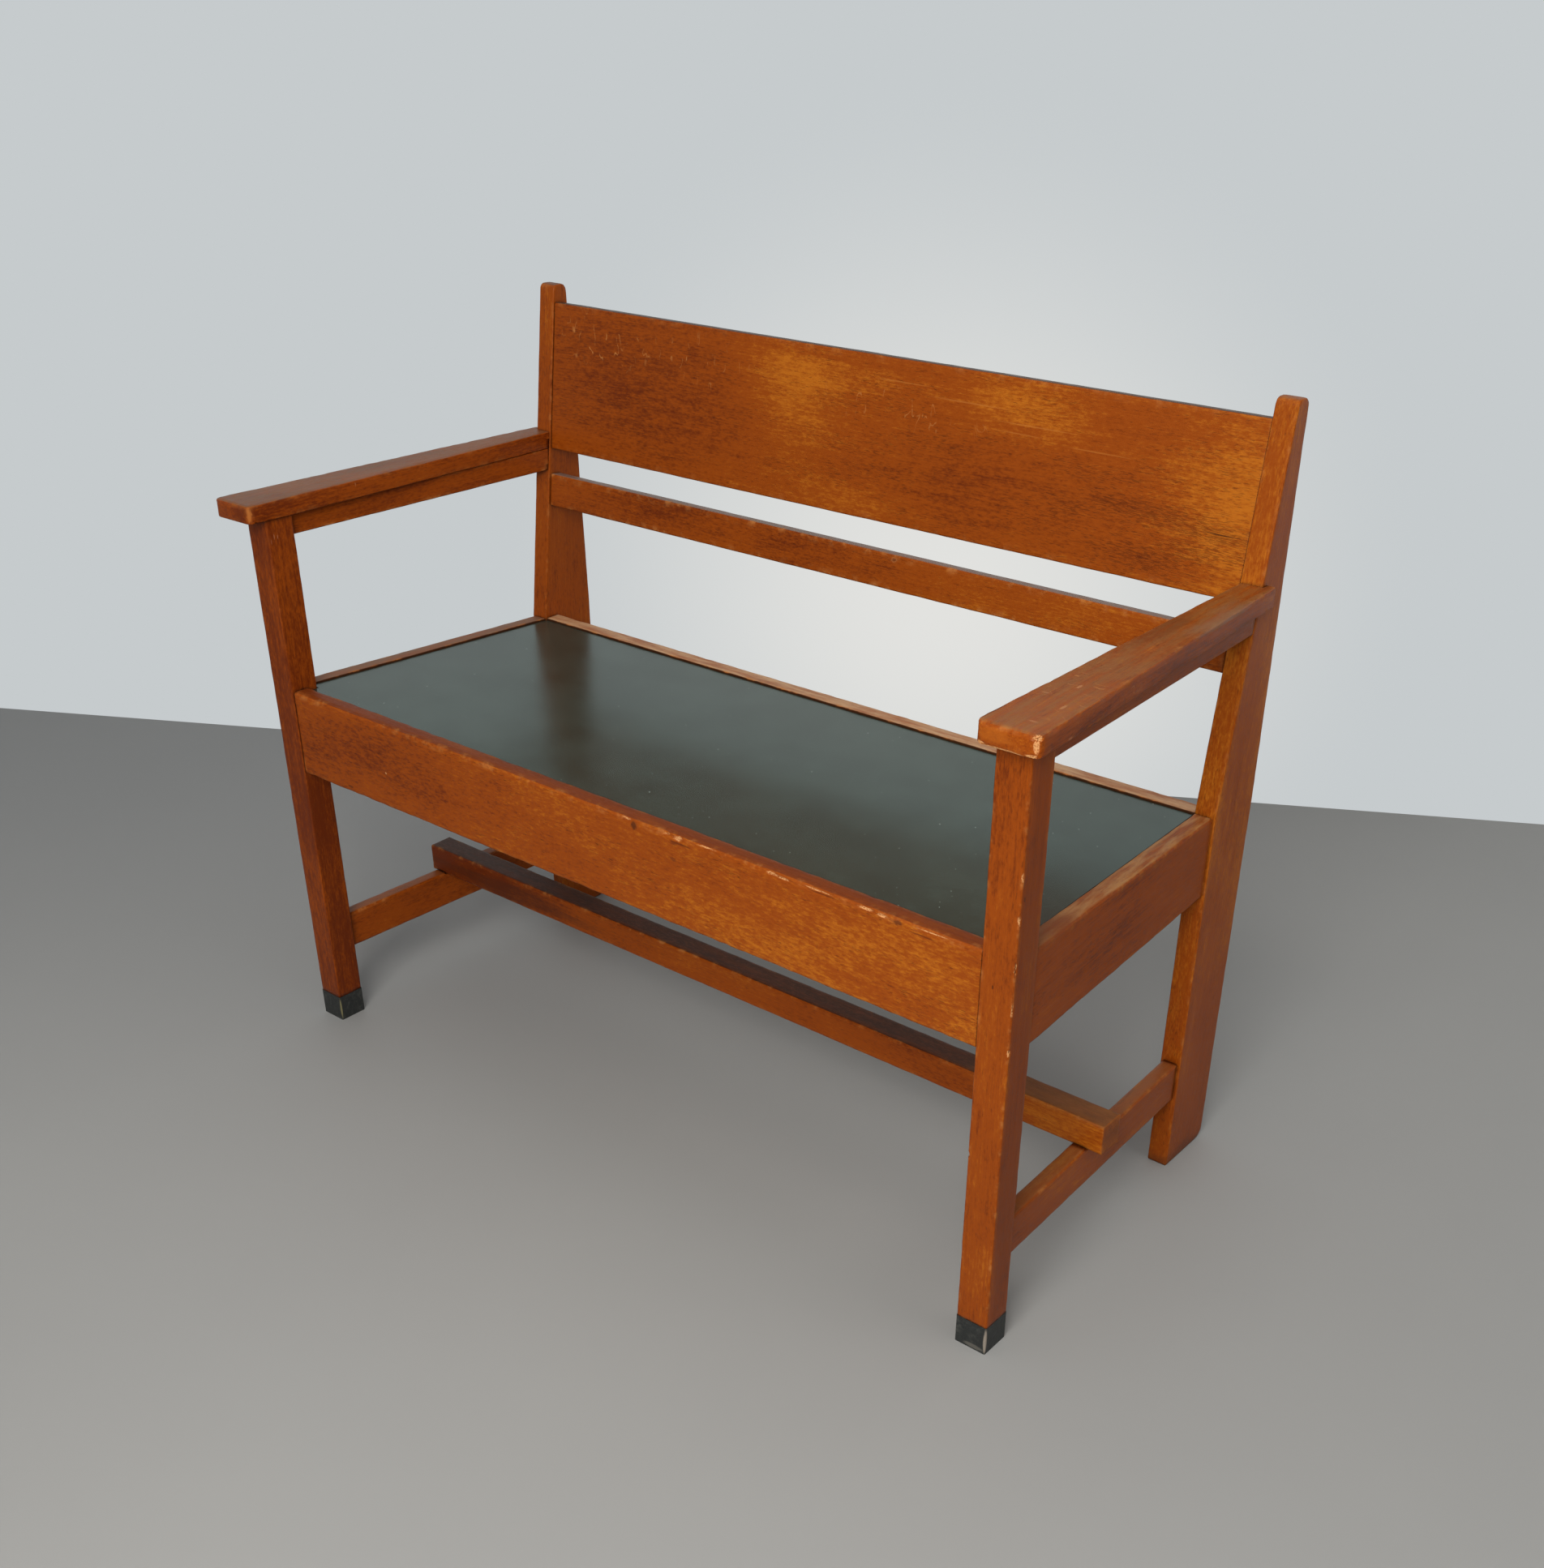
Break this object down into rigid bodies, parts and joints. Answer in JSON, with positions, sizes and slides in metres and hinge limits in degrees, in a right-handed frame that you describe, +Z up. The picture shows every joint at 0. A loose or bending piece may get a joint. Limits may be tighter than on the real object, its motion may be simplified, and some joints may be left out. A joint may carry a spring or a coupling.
{
  "type": "settle bench",
  "caption": "Two-seat oak settle bench with open arms, raked board back, linoleum seat and low stretchers.",
  "frame": {"origin": "on the floor under the middle of the bench", "axes": "+X to the right seen from the front, along the bench; +Y to the back; +Z up"},
  "size_m": [1.0802, 0.505, 0.8345],
  "materials": {
    "oak": "red-brown stained and lacquered oak, satin gloss, worn at the edges",
    "bare_wood": "unfinished wood, hidden",
    "linoleum": "dark grey-green satin linoleum",
    "shoe": "scuffed black",
    "screw": "dull steel"
  },
  "bodies": {
    "root": {"front_left_leg": "oak", "front_right_leg": "oak", "rear_left_post": "oak", "rear_right_post": "oak", "front_seat_rail": "oak", "rear_seat_rail": "oak", "left_seat_rail": "oak", "right_seat_rail": "oak", "back_board": "oak", "lower_back_rail": "oak", "left_arm": "oak", "right_arm": "oak", "left_arm_rail": "oak", "right_arm_rail": "oak", "left_side_stretcher": "oak", "right_side_stretcher": "oak", "long_stretcher": "oak", "seat_panel": "bare_wood", "front_ledger": "bare_wood", "rear_ledger": "bare_wood", "left_ledger": "bare_wood", "right_ledger": "bare_wood", "arm_dowels": "bare_wood", "stretcher_dowels": "bare_wood", "seat_linoleum": "linoleum", "front_left_shoe": "shoe", "front_right_shoe": "shoe", "ledger_screws": "screw"}
  },
  "joints": []
}
